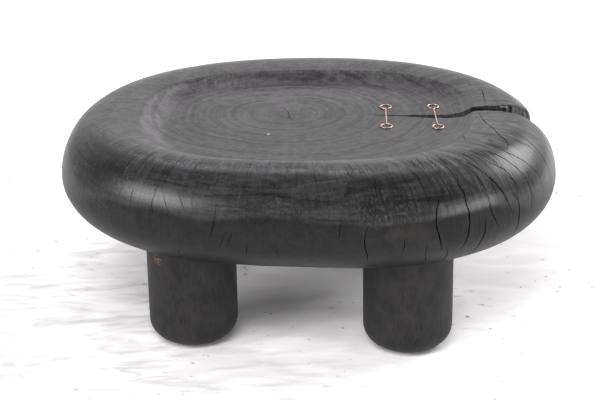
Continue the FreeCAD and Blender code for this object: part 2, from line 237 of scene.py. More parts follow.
# Finer checks over the rest of the slab, in planes through the pith: how many, and the ranges of their
# directions from the pith, of the stages where they start, of how far they reach and of their widths.
SPREAD_CHECKS = (
    (30, (35, 200), (2.0, 2.9), (0.12, 0.5), (0.8, 1.6)),
    (50, (-66, 18), (2.9, 3.4), (0.4, 1.2), (0.6, 1.3)),
    (26, (-60, 20), (2.4, 3.2), (0.2, 0.6), (0.7, 1.2)),
    (44, (-48, 12), (2.9, 3.6), (0.4, 1.3), (0.4, 0.9)),
    (26, (-112, -60), (2.8, 3.3), (0.2, 0.6), (0.5, 0.8)),
)

SHARP_EDGE = math.radians(58)       # edges at least this sharp stay sharp

# Light of the room: all round, in a band along the horizon, and of a wide soft glow high at the back, with
# the way to its middle and the cosines of the angles where it ends and where it is full.
ROOM_LEVEL = 0.13
HORIZON_LEVEL = 0.22
HORIZON_BAND = (0.25, 0.55)
GLOW_LEVEL = 0.65
GLOW_WAY = (0.15, 0.80, 0.58)
GLOW_SPREAD = (0.35, 0.90)
# Softboxes: name, place, width, height and radiance.
SOFTBOXES = (
    ("softbox_left", (-3.99, -2.90, 2.47), 3.06, 1.94, 7.0),
    ("softbox_back", (3.98, 2.05, 3.10), 3.25, 2.49, 5.5),
    ("softbox_right", (4.48, -2.90, 1.38), 2.87, 1.23, 6.3),
    ("softbox_front", (-0.7, -3.4, 4.20), 2.80, 2.00, 8.0),
)
UNMIRRORED = ("softbox_front",)      # lamps that the pieces don't mirror
LAMP_AIM = (0.0, -0.1, 0.35)
FLOOR_LIFT = 1.45           # how much paler the floor looks than it lights the table

# The camera, as it stood: place, aim, turn about its own axis, lens and sensor in millimetres.
CAMERA_PLACE = (0.1024, -3.4141, 1.7120)
CAMERA_AIM = (-0.0172, -0.0055, 0.2094)
CAMERA_ROLL = 0.94
CAMERA_LENS = 108.0
CAMERA_SENSOR = 36.0


# Node trees

def socket_of(sockets, key):
    """A socket by its number, its identifier or its name."""
    if isinstance(key, int):
        return sockets[key]
    return next((s for s in sockets if s.identifier == key), None) or sockets[key]


class Value:
    """A socket in a node tree. Arithmetic on it adds Math nodes."""

    def __init__(self, tree, socket):
        self.tree = tree
        self.socket = socket

    def maths(self, operation, *values):
        return self.tree.add("ShaderNodeMath", {"operation": operation}, dict(enumerate(values)))

    def out(self, key):
        """Another output of the same node."""
        return Value(self.tree, socket_of(self.socket.node.outputs, key))

    def __add__(self, other):
        return self.maths("ADD", self, other)

    def __radd__(self, other):
        return self.maths("ADD", other, self)

    def __sub__(self, other):
        return self.maths("SUBTRACT", self, other)

    def __rsub__(self, other):
        return self.maths("SUBTRACT", other, self)

    def __mul__(self, other):
        return self.maths("MULTIPLY", self, other)

    def __rmul__(self, other):
        return self.maths("MULTIPLY", other, self)

    def __truediv__(self, other):
        return self.maths("DIVIDE", self, other)

    def __rtruediv__(self, other):
        return self.maths("DIVIDE", other, self)

    def __pow__(self, other):
        return self.maths("POWER", self, other)

    def __abs__(self):
        return self.maths("ABSOLUTE", self)

    def cos(self):
        return self.maths("COSINE", self)

    def sin(self):
        return self.maths("SINE", self)

    def clamp(self):
        return self.tree.add("ShaderNodeClamp", {}, {"Value": self})

    def step(self, low, high):
        """0 below low, 1 above high, smooth between."""
        return self.tree.add("ShaderNodeMapRange", {"interpolation_type": "SMOOTHSTEP"}, {
            "Value": self, "From Min": low, "From Max": high,
        })


class Tree:
    """A node tree under construction."""

    def __init__(self, node_tree):
        self.node_tree = node_tree

    def add(self, kind, settings=None, sockets=None, out=0):
        """Adds a node: its settings first, then the values or links of its sockets. Gives one output."""
        node = self.node_tree.nodes.new(kind)
        for name, setting in (settings or {}).items():
            setattr(node, name, setting)
        for key, content in (sockets or {}).items():
            socket = socket_of(node.inputs, key)
            for item in content if isinstance(content, list) else [content]:
                if isinstance(item, Value):
                    self.node_tree.links.new(item.socket, socket)
                else:
                    socket.default_value = item
        return Value(self, socket_of(node.outputs, out)) if node.outputs else None

    def takes(self, sockets):
        """Gives the tree named inputs, and returns their values by name."""
        for name, kind in sockets.items():
            self.node_tree.interface.new_socket(name=name, in_out="INPUT", socket_type=kind)
        group_input = self.node_tree.nodes.new("NodeGroupInput")
        return {name: Value(self, group_input.outputs[name]) for name in sockets}

    def gives(self, name, kind, value):
        """Gives the tree an output."""
        self.node_tree.interface.new_socket(name=name, in_out="OUTPUT", socket_type=kind)
        self.add("NodeGroupOutput", {}, {name: value})

    def vector(self, x, y, z):
        return self.add("ShaderNodeCombineXYZ", {}, {"X": x, "Y": y, "Z": z})

    def parts(self, vector):
        first = self.add("ShaderNodeSeparateXYZ", {}, {"Vector": vector})
        return first, first.out("Y"), first.out("Z")

    def vector_maths(self, operation, a, b):
        second = "Scale" if operation == "SCALE" else "Vector_001"
        return self.add("ShaderNodeVectorMath", {"operation": operation}, {"Vector": a, second: b})

    def noise(self, vector, scale, detail=2.0, roughness=0.5, distortion=0.0):
        return self.add("ShaderNodeTexNoise", {}, {
            "Vector": vector, "Scale": scale, "Detail": detail, "Roughness": roughness,
            "Distortion": distortion,
        })

    def mix(self, factor, a, b):
        """A colour between two others."""
        return self.add("ShaderNodeMix", {"data_type": "RGBA"}, {
            "Factor_Float": factor, "A_Color": a, "B_Color": b,
        }, "Result_Color")


def geometry_tree(name):
    return Tree(bpy.data.node_groups.new(name, "GeometryNodeTree"))


def mesh_from_tree(name, tree, values):
    """Runs a geometry tree and keeps its result as a plain mesh object at the origin."""
    holder = bpy.data.objects.new(f"{name}_maker", bpy.data.meshes.new(f"{name}_maker"))
    bpy.context.scene.collection.objects.link(holder)
    modifier = holder.modifiers.new("make", "NODES")
    modifier.node_group = tree.node_tree
    for item in tree.node_tree.interface.items_tree:
        if item.in_out == "INPUT" and item.name in values:
            modifier[item.identifier] = values[item.name]
    shown = holder.evaluated_get(bpy.context.evaluated_depsgraph_get())
    mesh = bpy.data.meshes.new_from_object(shown)
    mesh.name = name
    piece = bpy.data.objects.new(name, mesh)
    bpy.context.scene.collection.objects.link(piece)
    bpy.data.objects.remove(holder)
    return piece


def finished(tree, geometry, material):
    """The end of a tree: smooth faces between sharp edges, realized, with their material."""
    crease = tree.add("GeometryNodeInputMeshEdgeAngle")
    soft = tree.add("FunctionNodeCompare", {"operation": "LESS_THAN"}, {"A": crease, "B": SHARP_EDGE})
    smooth = tree.add("GeometryNodeSetShadeSmooth", {"domain": "FACE"}, {"Geometry": geometry})
    edged = tree.add("GeometryNodeSetShadeSmooth", {"domain": "EDGE"}, {
        "Geometry": smooth, "Shade Smooth": soft,
    })
    whole = tree.add("GeometryNodeRealizeInstances", {}, {"Geometry": edged})
    return tree.add("GeometryNodeSetMaterial", {}, {"Geometry": whole, "Material": material})


# Shape of the slab

def oval(cosine, sine, half_length, half_width, power):
    """Distance from the middle of a squared oval to its edge, for values or plain numbers."""
    return (abs(cosine / half_length) ** power + abs(sine / half_width) ** power) ** (-1 / power)


def outline_middle():
    """Middle of the box around the slab's outline."""
    turns = [math.radians(d / 8) for d in range(360 * 8)]
    points = []
    for a in turns:
        waves = (
            SLAB["Lobe Three Cos"] * math.cos(3 * a)
            + SLAB["Lobe Three Sin"] * math.sin(3 * a)
            + SLAB["Lobe Two Sin"] * math.sin(2 * a)
        )
        plain = oval(math.cos(a), math.sin(a), SLAB["Half Length"], SLAB["Half Width"], SLAB["Outline Power"])
        points.append(Vector((math.cos(a), math.sin(a))) * plain * (1 + waves))
    xs = [p.x for p in points]
    ys = [p.y for p in points]
    return (min(xs) + max(xs)) / 2, (min(ys) + max(ys)) / 2


SLAB["Middle X"], SLAB["Middle Y"] = outline_middle()


def slab_skin_tree():
    """The place on the slab's skin at a turn around it and a stage along its profile.

    The split's far bank ends in a blunt nose.
    """
    tree = geometry_tree("slab_skin")
    size = tree.takes({name: "NodeSocketFloat" for name in ("Around", "Along", *SLAB)})
    around = size["Around"]
    stage = [(size["Along"] - k).clamp() for k in range(len(PROFILE_ROWS))]
    cosine = around.cos()
    sine = around.sin()
    waves = (
        size["Lobe Three Cos"] * (around * 3).cos()
        + size["Lobe Three Sin"] * (around * 3).sin()
        + size["Lobe Two Sin"] * (around * 2).sin()
    )
    outline = oval(cosine, sine, size["Half Length"], size["Half Width"], size["Outline Power"]) * (1 + waves)
    belly = (stage[1] - 1) * (math.pi / 2)
    crown = stage[2] * (math.pi / 2)
    inset = size["Belly Inset"] * (1 - belly.cos()) + size["Crown Inset"] * (1 - crown.cos())
    bulge = (outline - inset) * stage[0]
    wall_run = size["Wall Run Side"] + (size["Wall Run End"] - size["Wall Run Side"]) * cosine * cosine
    arris = oval(cosine, sine, size["Dish Half Length"], size["Dish Half Width"], size["Dish Power"])
    dish = (arris - wall_run * stage[4]) * (1 - stage[5])
    bulge_x = bulge * cosine - size["Middle X"]
    bulge_y = bulge * sine - size["Middle Y"]
    dish_x = dish * cosine + size["Dish X"]
    dish_y = dish * sine + size["Dish Y"]
    fall = stage[4] * (1 + size["Wall Hollow"] * (1 - stage[4]))
    height = (
        size["Belly Height"]
        + size["Belly Drop"] * belly.sin()
        + size["Crown Rise"] * crown.sin()
        - size["Arris Drop"] * stage[3] * stage[3]
        - (size["Dish Sunk"] - size["Arris Drop"]) * fall
    )
    skin_x = bulge_x + (dish_x - bulge_x) * stage[3]
    skin_y = bulge_y + (dish_y - bulge_y) * stage[3]
    off_bank = 1 - skin_y.step(*NOSE_FRONT_Y) + NOSE_FADE * skin_y.step(*NOSE_BACK_Y)
    nose = size["Nose X"] + NOSE_OFF * off_bank + NOSE_LEAN * (1 - height.step(*NOSE_LEAN_Z))
    blunt_x = skin_x.maths("SMOOTH_MIN", skin_x, nose, size["Nose Round"])
    tree.gives("Place", "NodeSocketVector", tree.vector(blunt_x, skin_y, height))
    return tree


def smooth_line(points, steps):
    """A smooth run through points of any dimension."""
    padded = [points[0], *points, points[-1]]
    run = []
    for before, a, b, after in zip(padded, padded[1:], padded[2:], padded[3:]):
        for i in range(steps):
            t = i / steps
            run.append(
                a + (b - before) * (t * (1 - t) ** 2 / 2) - (after - a) * (t * t * (1 - t) / 2)
                + (b - a) * (t * t * (3 - 2 * t))
            )
    return [*run, points[-1]]


def split_cutter():
    """The space of the drying split, with torn fibres on its walls, as a closed mesh."""
    line = smooth_line([Vector(place) for place in SPLIT], SPLIT_STEPS)
    near = [Vector((p.x, p.y, p.z - p.y)) for p in line]
    far = [Vector((p.x, p.z, p.z - p.y)) for p in line[1:]]
    loop = [*near, *reversed(far)]
    mesh = bmesh.new()
    levels = []
    for k in range(SPLIT_LEVELS + 1):
        z = SPLIT_FOOT + (SPLIT_TOP - SPLIT_FOOT) * k / SPLIT_LEVELS
        ring = []
        for x, y, width in loop:
            fine = noise.noise(Vector((x * 160, y * 300, z * 26)))
            torn = fine + noise.noise(Vector((x * 60, y * 90, z * 9)))
            reach = SPLIT_FIBRE * torn * min(1, width / 0.012)
            ring.append(mesh.verts.new((x, y + reach, z)))
        levels.append(ring)
    count = len(loop)
    for low, high in zip(levels, levels[1:]):
        for i in range(count):
            j = (i + 1) % count
            mesh.faces.new((low[i], low[j], high[j], high[i]))
    mesh.faces.new(levels[0][::-1])
    mesh.faces.new(levels[-1])
    data = bpy.data.meshes.new("split_cutter")
    bmesh.ops.recalc_face_normals(mesh, faces=mesh.faces)
    mesh.to_mesh(data)
    mesh.free()
    cutter = bpy.data.objects.new("split_cutter", data)
    bpy.context.scene.collection.objects.link(cutter)
    return cutter


def check_lines():
    """The drying checks as curves on the slab's chart: x is the turn, y the profile stage.

    z is 1 where the turn is counted about the pith, and 0 where it is counted about the slab's middle.
    """
    draw = random.Random(11)
    checks = [(width, places, 0) for width, *places in CHECKS]
    for count, turns, stages, reaches, widths in SPREAD_CHECKS:
        for k in range(count):
            turn = turns[0] + (turns[1] - turns[0]) * (k + draw.random()) / count
            start = draw.uniform(*stages)
            reach = draw.uniform(*reaches)
            lean = draw.uniform(-2, 2)
            places = [(turn, start), (turn + lean, start - reach / 2), (turn + lean / 2, start - reach)]
            checks.append((draw.uniform(*widths), places, 1))
    data = bpy.data.curves.new("drying_checks", "CURVE")
    data.dimensions = "3D"
    for width, places, about_pith in checks:
        spline = data.splines.new("POLY")
        marks = [Vector((math.radians(turn), stage, about_pith)) for turn, stage in places]
        run = smooth_line(marks, CHECK_POINTS)
        spline.points.add(len(run) - 1)
        for point, place in zip(spline.points, run):
            point.co = (*place, 1)
            point.radius = width * 0.001 * CHECK_SHARE
    lines = bpy.data.objects.new("drying_checks", data)
    bpy.context.scene.collection.objects.link(lines)
    return lines


def slab_tree(skin, material):
    """The whole slab: its skin, waves and dents, less the split, the checks and the legs' housings."""
    tree = geometry_tree("carved_slab")
    kinds = {name: "NodeSocketFloat" for name in SLAB}
    kinds |= {"Lines Around": "NodeSocketInt", "Split": "NodeSocketObject", "Checks": "NodeSocketObject"}
    depths = ("Wave Depth", "Dent Depth", "Lip Crisp", "Lip Near", "Lip Far")
    kinds |= {name: "NodeSocketFloat" for name in depths}
    given = tree.takes(kinds)
    sizes = {name: given[name] for name in SLAB}
    position = tree.add("GeometryNodeInputPosition")
    x, y, z = tree.parts(position)

    def on_skin(around, along):
        return tree.add("GeometryNodeGroup", {"node_tree": skin.node_tree}, {
            "Around": around, "Along": along, **sizes,
        })

    crowded = x * (2 * math.pi) - (x * (2 * math.pi)).sin() * LINES_CROWDED
    sheets = []
    for stage, rows in enumerate(PROFILE_ROWS):
        grid = tree.add("GeometryNodeMeshGrid", {}, {
            "Size X": 1.0, "Size Y": 1.0, "Vertices X": given["Lines Around"], "Vertices Y": rows + 1,
        })
        place = on_skin(crowded + SPLIT_TURN, y + (stage + 0.5))
        sheets.append(tree.add("GeometryNodeSetPosition", {}, {"Geometry": grid, "Position": place}))
    joined = tree.add("GeometryNodeJoinGeometry", {}, {"Geometry": sheets})
    closed = tree.add("GeometryNodeMergeByDistance", {}, {"Geometry": joined, "Distance": 0.00002})

    split = tree.add("GeometryNodeObjectInfo", {}, {"Object": given["Split"]}, "Geometry")
    flat_split = tree.add("GeometryNodeSetPosition", {}, {
        "Geometry": split, "Position": tree.vector(x, y, 0.0),
    })
    from_split = tree.add("GeometryNodeProximity", {"target_element": "FACES"}, {
        "Target": flat_split, "Source Position": tree.vector(x, y, 0.0),
    }, "Distance")
    lip_end = given["Lip Near"] + (given["Lip Far"] - given["Lip Near"]) * y.step(*LIP_SIDE_Y)
    lip = given["Lip Crisp"] + lip_end * x.step(*LIP_END_X)
    into_lip = (1 - from_split / lip).clamp()
    lip_drop = lip * (1 - (1 - into_lip * into_lip) ** 0.5)
    outside = z.step(*CALM_Z) * -CALM_SHARE + 1
    waves = tree.noise(position, 5.5, 1.0) * given["Wave Depth"] * outside
    dents = tree.noise(position, 26.0, 2.0) * given["Dent Depth"]
    normal = tree.add("GeometryNodeInputNormal")
    sideways = tree.vector_maths("MULTIPLY", normal, (1.0, 1.0, 0.0))
    cut_back = tree.vector_maths(
        "ADD",
        tree.vector_maths("SCALE", normal, (waves + dents) * -1),
        tree.vector_maths("SCALE", sideways, lip_drop * -1),
    )
    uneven = tree.add("GeometryNodeSetPosition", {}, {"Geometry": closed, "Offset": cut_back})

    chart = tree.add("GeometryNodeObjectInfo", {}, {"Object": given["Checks"]}, "Geometry")
    turn = x
    for _ in range(2):
        reach_x, reach_y, _ = tree.parts(on_skin(turn, y))
        reach_x = reach_x - PITH[0]
        reach_y = reach_y - PITH[1]
        across = x.sin() * reach_x - x.cos() * reach_y
        ahead = x.cos() * reach_x + x.sin() * reach_y
        turn = turn + across.maths("ARCTAN2", across, ahead) * z
    wander = tree.noise(on_skin(turn, y), 52.0, 3.0) - 0.5
    on_bulge = tree.add("GeometryNodeSetPosition", {}, {
        "Geometry": chart, "Position": on_skin(turn + wander * CHECK_WANDER, y),
    })
    touch = tree.add("GeometryNodeProximity", {"target_element": "FACES"}, {"Target": uneven}, "Position")
    lines = tree.add("GeometryNodeSetPosition", {}, {"Geometry": on_bulge, "Position": touch})
    skin_normal = tree.add("GeometryNodeSampleNearestSurface", {"data_type": "FLOAT_VECTOR"}, {
        "Mesh": uneven, "Value": normal,
    })
    upright = tree.add("GeometryNodeSetCurveNormal", {"mode": "FREE"}, {
        "Curve": lines, "Normal": skin_normal,
    })
    run = tree.add("GeometryNodeSplineParameter")
    taper = (run * math.pi).sin() ** 0.6 + 0.04
    ragged = 0.6 + 0.8 * tree.noise(position, 45.0, 2.0)
    blade = tree.add("GeometryNodeTransform", {}, {
        "Geometry": tree.add("GeometryNodeCurvePrimitiveCircle", {}, {"Resolution": 4, "Radius": 1.0}),
        "Scale": (CHECK_DEPTH * 2, 1.0, 1.0),
    })
    blades = tree.add("GeometryNodeCurveToMesh", {}, {
        "Curve": upright, "Profile Curve": blade, "Fill Caps": True,
        "Scale": tree.add("GeometryNodeInputRadius") * taper * ragged,
    })

    bores = []
    for leg in LEGS:
        low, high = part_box(f"leg_{leg}")
        middle = (low + high) / 2
        for radius, top in (((high.x - low.x) / 2 + SEAT_GAP, LEG_SEAT), *INSERT_BORES):
            post = tree.add("GeometryNodeMeshCylinder", {}, {
                "Vertices": 128 if top == LEG_SEAT else 48, "Radius": radius, "Depth": top,
            })
            bores.append(tree.add("GeometryNodeTransform", {}, {
                "Geometry": post, "Translation": (middle.x, middle.y, top / 2),
            }))
    cut = tree.add("GeometryNodeMeshBoolean", {"operation": "DIFFERENCE", "solver": "MANIFOLD"}, {
        "Mesh 1": uneven, "Mesh 2": [split, blades, *bores],
    })
    tree.gives("Slab", "NodeSocketGeometry", finished(tree, cut, material))
    return tree


def make_slab(material):
    split = split_cutter()
    checks = check_lines()
    tree = slab_tree(slab_skin_tree(), material)
    slab = mesh_from_tree("slab", tree, SLAB | {
        "Lines Around": LINES_AROUND + 1,
        "Split": split,
        "Checks": checks,
        "Wave Depth": WAVE_DEPTH,
        "Dent Depth": DENT_DEPTH,
        "Lip Crisp": LIP_CRISP,
        "Lip Near": LIP_NEAR,
        "Lip Far": LIP_FAR,
    })
    for helper in (split, checks):
        bpy.data.objects.remove(helper)
    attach(slab, "root")
    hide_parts("slab_top")
    return slab


# Legs and glides: turned pieces

def profile_mesh(name, points):
    """The rows of a turned piece, from the axis at its foot to the axis at its top: x radius, z height."""
    mesh = bpy.data.meshes.new(name)
    mesh.from_pydata([(radius, 0, height) for radius, height in points], [], [])
    holder = bpy.data.objects.new(name, mesh)
    bpy.context.scene.collection.objects.link(holder)
    return holder


def straight(start, end, rows):
    """Rows along a straight part of a profile, without its end."""
    return [tuple(a + (b - a) * k / rows for a, b in zip(start, end)) for k in range(rows)]


def rounding(centre, radius, first, last, rows):
    """Rows round a corner of a profile, without its end. Angles in degrees."""
    turns = [math.radians(first + (last - first) * k / rows) for k in range(rows)]
    return [(centre[0] + radius * math.cos(a), centre[1] + radius * math.sin(a)) for a in turns]


def leg_profile(radius, foot, top):
    hole, hole_end = BOLT_HOLE
    return [
        *straight((0, foot), (radius - FOOT_ROUND, foot), 8),
        *rounding((radius - FOOT_ROUND, foot + FOOT_ROUND), FOOT_ROUND, -90, 0, 26),
        *straight((radius, foot + FOOT_ROUND), (radius, top), 56),
        *straight((radius, top), (hole, top), 4),
        (hole, top),
        (hole, hole_end),
        (0, hole_end),
    ]


def glide_profile(radius, foot, top):
    bend = FELT_ROUND
    return [
        *straight((0, foot), (radius - bend, foot), 12),
        *rounding((radius - bend, foot + bend), bend, -90, 0, 5),
        *rounding((radius - bend, top - bend), bend, 0, 90, 5),
        *straight((radius - bend, top), (0, top), 12),
        (0, top),
    ]


def turned_tree():
    """A piece turned about an upright axis, with fine grooves or fuzz in its skin."""
    tree = geometry_tree("turned_piece")
    given = tree.takes({
        "Profile": "NodeSocketObject", "Rows": "NodeSocketInt", "Lines Around": "NodeSocketInt",
        "Axis X": "NodeSocketFloat", "Axis Y": "NodeSocketFloat",
        "Groove Depth": "NodeSocketFloat", "Groove Scale": "NodeSocketFloat",
        "Groove Length": "NodeSocketFloat",
        "Finish": "NodeSocketMaterial",
    })
    position = tree.add("GeometryNodeInputPosition")
    x, y, z = tree.parts(position)
    grid = tree.add("GeometryNodeMeshGrid", {}, {
        "Size X": 1.0, "Size Y": 1.0, "Vertices X": given["Lines Around"], "Vertices Y": given["Rows"],
    })
    rows = tree.add("GeometryNodeObjectInfo", {}, {"Object": given["Profile"]}, "Geometry")
    along = (y + 0.5) * (given["Rows"] - 1)
    row = along.maths("ROUND", along)
    on_row = tree.add("GeometryNodeSampleIndex", {"data_type": "FLOAT_VECTOR", "domain": "POINT"}, {
        "Geometry": rows, "Value": position, "Index": row,
    })
    radius, _, height = tree.parts(on_row)
    turn = (x + 0.5) * (2 * math.pi)
    place = tree.vector(radius * turn.cos() + given["Axis X"], radius * turn.sin() + given["Axis Y"], height)
    skin = tree.add("GeometryNodeSetPosition", {}, {"Geometry": grid, "Position": place})
    closed = tree.add("GeometryNodeMergeByDistance", {}, {"Geometry": skin, "Distance": 0.00002})
    scale = given["Groove Scale"]
    grain = tree.noise(tree.vector(x * scale, y * scale, z * scale / given["Groove Length"]), 1.0, 3.0)
    from_axis = ((x - given["Axis X"]) ** 2 + (y - given["Axis Y"]) ** 2) ** 0.5
    normal = tree.add("GeometryNodeInputNormal")
    upright = 1 - abs(tree.parts(normal)[2])
    groove = grain * given["Groove Depth"] * from_axis.step(0.012, 0.04) * upright.step(0.02, 0.3)
    cut_back = tree.vector_maths("SCALE", normal, groove * -1)
    grooved = tree.add("GeometryNodeSetPosition", {}, {"Geometry": closed, "Offset": cut_back})
    tree.gives("Piece", "NodeSocketGeometry", finished(tree, grooved, given["Finish"]))
    return tree


def make_turned(kind, slot, finish, profile, lines, groove):
    """One turned piece under each leg's name, in the place of its solid."""
    tree = turned_tree()
    depth, scale, length = groove
    for leg in LEGS:
        low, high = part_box(f"{kind}_{leg}")
        middle = (low + high) / 2
        points = profile((high.x - low.x) / 2, low.z, high.z)
        rows = profile_mesh(f"{kind}_rows", points)
        piece = mesh_from_tree(f"{slot}_{leg}", tree, {
            "Profile": rows, "Rows": len(points), "Lines Around": lines + 1,
            "Axis X": middle.x, "Axis Y": middle.y,
            "Groove Depth": depth, "Groove Scale": scale, "Groove Length": length,
            "Finish": finish,
        })
        bpy.data.objects.remove(rows)
        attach(piece, "root")
        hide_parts(f"{kind}_{leg}")


# Finishes

def new_material(name):
    """A material with a Principled shader. Returns the material, its tree and the shader's node."""
    material = bpy.data.materials.new(name)
    material.use_nodes = True
    tree = Tree(material.node_tree)
    return material, tree, material.node_tree.nodes["Principled BSDF"]


def finish_material(tree, shader, colour, roughness, bump, bump_depth, coat=None, **plain):
    """Feeds the shader: what changes over the surface through links, the rest as plain values."""
    links = tree.node_tree.links
    links.new(colour.socket, shader.inputs["Base Color"])
    links.new(roughness.socket, shader.inputs["Roughness"])
    relief = tree.add("ShaderNodeBump", {}, {"Height": bump, "Distance": bump_depth, "Strength": 1.0})
    links.new(relief.socket, shader.inputs["Normal"])
    if coat:
        links.new(coat.socket, shader.inputs["Coat Weight"])
    for name, content in plain.items():
        shader.inputs[name.replace("_", " ")].default_value = content


def near_place(tree, place, middle, radius):
    """1 at a place, falling to 0 at a distance from it."""
    away = tree.add("ShaderNodeVectorMath", {"operation": "DISTANCE"}, {
        "Vector": place, "Vector_001": middle,
    }, "Value")
    return (1 - away / radius).clamp()


def seams(tree, cells):
    """Distance to the nearest border between irregular cells."""
    return tree.add("ShaderNodeTexVoronoi", {"feature": "DISTANCE_TO_EDGE"}, {
        "Vector": cells, "Scale": 1.0,
    }, "Distance")


def char(level):
    """A charred grey, a little purple."""
    return level, level * CHAR_GREEN, level, 1


def shade(tree, tone, dark, light):
    """A charred grey between two levels."""
    return tree.mix(tone, char(dark), char(light))


def slab_zones(tree, place, patch):
    """How far each zone of the slab's finish reaches, by name."""
    x, y, z = tree.parts(place)
    zone = SimpleNamespace()
    along = abs(x - SLAB["Dish X"]) / SLAB["Dish Half Length"]
    across = abs(y - SLAB["Dish Y"]) / SLAB["Dish Half Width"]
    to_arris = along ** SLAB["Dish Power"] + across ** SLAB["Dish Power"]
    zone.dish = 1 - to_arris.step(*DISH_EDGE)
    zone.wall = to_arris.step(*DISH_WALL) * zone.dish
    # painted light: the left part of the dish wall, made paler as if more lit
    zone.pale_wall = 1 - x.step(*PAINTED_LIT_WALL_X)
    # painted sheen: the back of the dish floor
    zone.back_floor = y.step(*PAINTED_SHEEN_FLOOR_Y)
    zone.top = ((z + 0.008 * (patch - 0.5)).step(*RIM_EDGE_Z) + zone.dish).clamp()
    zone.off_front = abs(x).step(*OFF_FRONT_X)
    # painted light: the rim's front edge, where it rolls over
    zone.worn_edge = (1 - z.step(*PAINTED_LIT_EDGE_Z)) * (1 - zone.off_front)
    ends = abs(x).step(*ENDS_X)
    low, high = BRUSHED_Z
    wider_down, wider_up = BRUSHED_SPREAD
    waved = z + 0.036 * (tree.noise(place, 6.5, 2.0) - 0.5)
    zone.upper = waved.step(low - wider_down * ends, high + wider_up * ends)
    zone.side = zone.upper * (1 - zone.top)
    zone.cracked = x.step(*CRACKED_X)
    zone.matt = 0.65 * (1 - x.step(*MATT_LEFT_X)) + 0.45 * x.step(*MATT_RIGHT_X)
    return zone


def slab_grain(tree, place):
    """Patterns of the slab's end grain, by name: rings and rays about the pith, fibres, bands and mottling."""
    x, y, z = tree.parts(place)
    grain = SimpleNamespace()
    east = (x - PITH[0]) / RING_STRETCH
    north = y - PITH[1]
    reach = (east * east + north * north) ** 0.5 + 0.0001
    slow = tree.noise(place, 5.0, 2.0)
    grain.wavy = tree.noise(tree.vector(x * 22, y * 22, z * 15), 1.0, 2.0)
    growth = reach + 0.036 * (slow - 0.5) + 0.008 * (grain.wavy - 0.5)
    grain.rings = tree.noise(tree.vector(growth * 125, slow * 2, 0.0), 1.0, 3.0, 0.62).step(0.30, 0.70)
    grain.fibre = tree.noise(tree.vector(x * 330, y * 330, z * 22), 1.0, 3.0, 0.6)
    grain.patch = tree.noise(place, 11.0, 4.0, 0.6)
    grain.mottle = tree.noise(place, 62.0, 5.0, 0.68)
    grain.ray = tree.noise(tree.vector(east / reach * 75, north / reach * 75, growth * 6), 1.0, 4.0, 0.65)
    grain.bands = tree.noise(tree.vector(x * 8, y * 8, z * 80), 1.0, 5.0, 0.66, 1.3)
    grain.hairs = seams(tree, tree.vector(east / reach * 42, north / reach * 42, (growth - z) * 5))
    grain.flakes = seams(tree, tree.vector(x * 150, y * 150, z * 105))
    return grain


def slab_greys(tree, tone, zone):
    """The charred greys of the slab's zones, one beside the other. The pale greys of the top, on the rim and
    in the dish, are partly a real brushed grey and partly painted sheen.
    """
    dull = shade(tree, tone, 0.006, 0.017)
    brushed = shade(tree, tone, 0.006, 0.050)
    # The rim's and the dish's greys are far paler than the bulge's: partly brushed char, partly painted sheen.
    rim = tree.mix(zone.off_front, shade(tree, tone, 0.030, 0.120), shade(tree, tone, 0.022, 0.120))
    # A pale grey that is painted light, laid on the dish's left wall and on the rim's front edge.
    worn = shade(tree, tone, 0.080, 0.180)
    # Painted light: the rim's rolled-over front edge takes the pale painted grey.
    rim = tree.mix(zone.worn_edge * 0.7, rim, worn)
    # Painted sheen: the dish floor is paler towards the back.
    floor = tree.mix(zone.back_floor, shade(tree, tone, 0.024, 0.094), shade(tree, tone, 0.042, 0.138))
    wall = tree.mix(zone.pale_wall, shade(tree, tone, 0.032, 0.104), worn)
    carved = tree.mix(zone.wall, floor, wall)
    return tree.mix(zone.top, tree.mix(zone.upper, dull, brushed), tree.mix(zone.dish, rim, carved))


def slab_marks(tree, place, colour, grain, zone, ash, burnt):
    """Lays ash, scraped and scratched places, a chip and a torn streak over the slab's greys."""
    x, y, z = tree.parts(place)
    colour = tree.mix(ash * 0.70, colour, ASH)
    flaked = burnt.step(0.05, 0.40) * zone.side
    scrapes = tree.noise(tree.vector(x * 240, y * 240, z * 60), 1.0, 4.0, 0.7).step(0.53, 0.66) * flaked
    colour = tree.mix(flaked * 0.6, colour, char(SOOT))
    colour = tree.mix(scrapes * grain.patch.step(0.35, 0.60) * 0.6, colour, SCRAPED)
    scratched = near_place(tree, tree.vector(x * 0.5, y, z), *SCRATCHED_WALL).step(0.0, 0.4) * zone.wall
    scratch = tree.noise(tree.vector(x * 420, y * 45, z * 45), 1.0, 1.0).step(0.58, 0.72) * scratched
    colour = tree.mix(scratch * 0.6, colour, SCRATCHED)
    chip = near_place(tree, tree.vector(x + 0.2 * abs(y - CHIP_MIDDLE_Y), y * 0.36, z), *CHIP)
    streak = near_place(tree, tree.vector(x * 0.20, y * 0.1, z + x * 0.22), *TORN_STREAK)
    torn = (streak * 1.2 + (grain.fibre - 0.5) * 3.0).step(0.45, 0.9) * streak.step(0.0, 0.3) * 0.5
    return tree.mix((chip.step(0.1, 0.35) * 0.6 + torn).clamp(), colour, RAW_WOOD)


